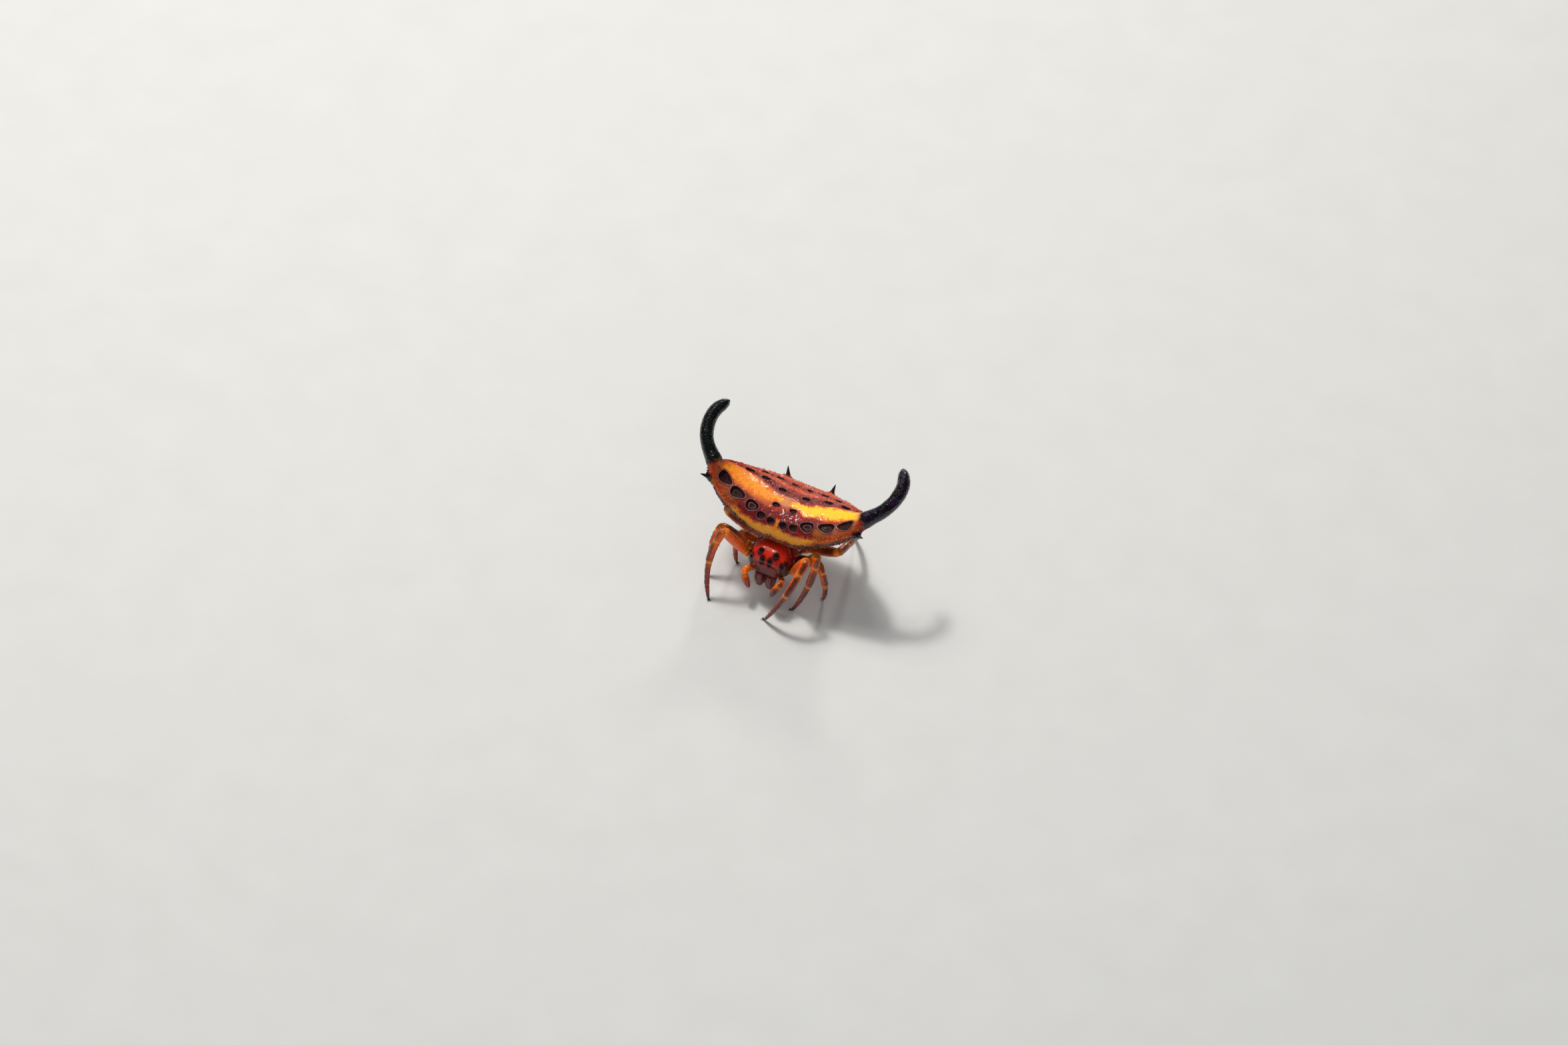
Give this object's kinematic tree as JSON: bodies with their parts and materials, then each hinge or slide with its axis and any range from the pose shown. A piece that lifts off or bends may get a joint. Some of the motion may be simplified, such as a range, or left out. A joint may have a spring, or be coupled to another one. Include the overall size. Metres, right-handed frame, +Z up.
{
  "type": "spiny orb weaver spider",
  "caption": "Life-size horned orb weaver spider, standing: wide banded shield with sunken dots, two long sickle horns, small spines and short banded legs.",
  "frame": {"origin": "on the floor plane, under the middle of the animal's bounding box", "axes": "+X to the spider's own left, across the horns; -Y the way the face looks; +Z up from the floor"},
  "size_m": [0.0162, 0.0108, 0.0103],
  "materials": {
    "abdomen_shell": "hard glossy shell, banded yellow, orange and maroon",
    "horn_black": "black grained shell with short fuzz and a faint coloured sheen",
    "carapace_red": "polished crimson shell",
    "leg_orange": "orange shell with dark hairy streaks",
    "underside_brown": "dark brown shell, half matt",
    "jaw_dark": "dark maroon polished shell",
    "eye_black": "wet black lens"
  },
  "bodies": {
    "root": {"abdomen": "abdomen_shell", "horn_left": "horn_black", "horn_right": "horn_black", "spine_front_left": "horn_black", "spine_front_right": "horn_black", "spine_rear_left": "horn_black", "spine_rear_right": "horn_black", "spinnerets": "underside_brown", "pedicel": "carapace_red", "carapace": "carapace_red", "sternum": "underside_brown", "mouthparts": "underside_brown", "chelicera_left": "jaw_dark", "chelicera_right": "jaw_dark", "palp_left": "leg_orange", "palp_right": "leg_orange", "eye_median_rear_left": "eye_black", "eye_median_rear_right": "eye_black", "eye_median_front_left": "eye_black", "eye_median_front_right": "eye_black", "eye_side_rear_left": "eye_black", "eye_side_rear_right": "eye_black", "eye_side_front_left": "eye_black", "eye_side_front_right": "eye_black", "leg_1_left_coxa": "leg_orange", "leg_1_left_femur": "leg_orange", "leg_1_left_tibia": "leg_orange", "leg_1_left_foot": "leg_orange", "leg_1_right_coxa": "leg_orange", "leg_1_right_femur": "leg_orange", "leg_1_right_tibia": "leg_orange", "leg_1_right_foot": "leg_orange", "leg_2_left_coxa": "leg_orange", "leg_2_left_femur": "leg_orange", "leg_2_left_tibia": "leg_orange", "leg_2_left_foot": "leg_orange", "leg_2_right_coxa": "leg_orange", "leg_2_right_femur": "leg_orange", "leg_2_right_tibia": "leg_orange", "leg_2_right_foot": "leg_orange", "leg_3_left_coxa": "leg_orange", "leg_3_left_femur": "leg_orange", "leg_3_left_tibia": "leg_orange", "leg_3_left_foot": "leg_orange", "leg_3_right_coxa": "leg_orange", "leg_3_right_femur": "leg_orange", "leg_3_right_tibia": "leg_orange", "leg_3_right_foot": "leg_orange", "leg_4_left_coxa": "leg_orange", "leg_4_left_femur": "leg_orange", "leg_4_left_tibia": "leg_orange", "leg_4_left_foot": "leg_orange", "leg_4_right_coxa": "leg_orange", "leg_4_right_femur": "leg_orange", "leg_4_right_tibia": "leg_orange", "leg_4_right_foot": "leg_orange"}
  },
  "joints": []
}
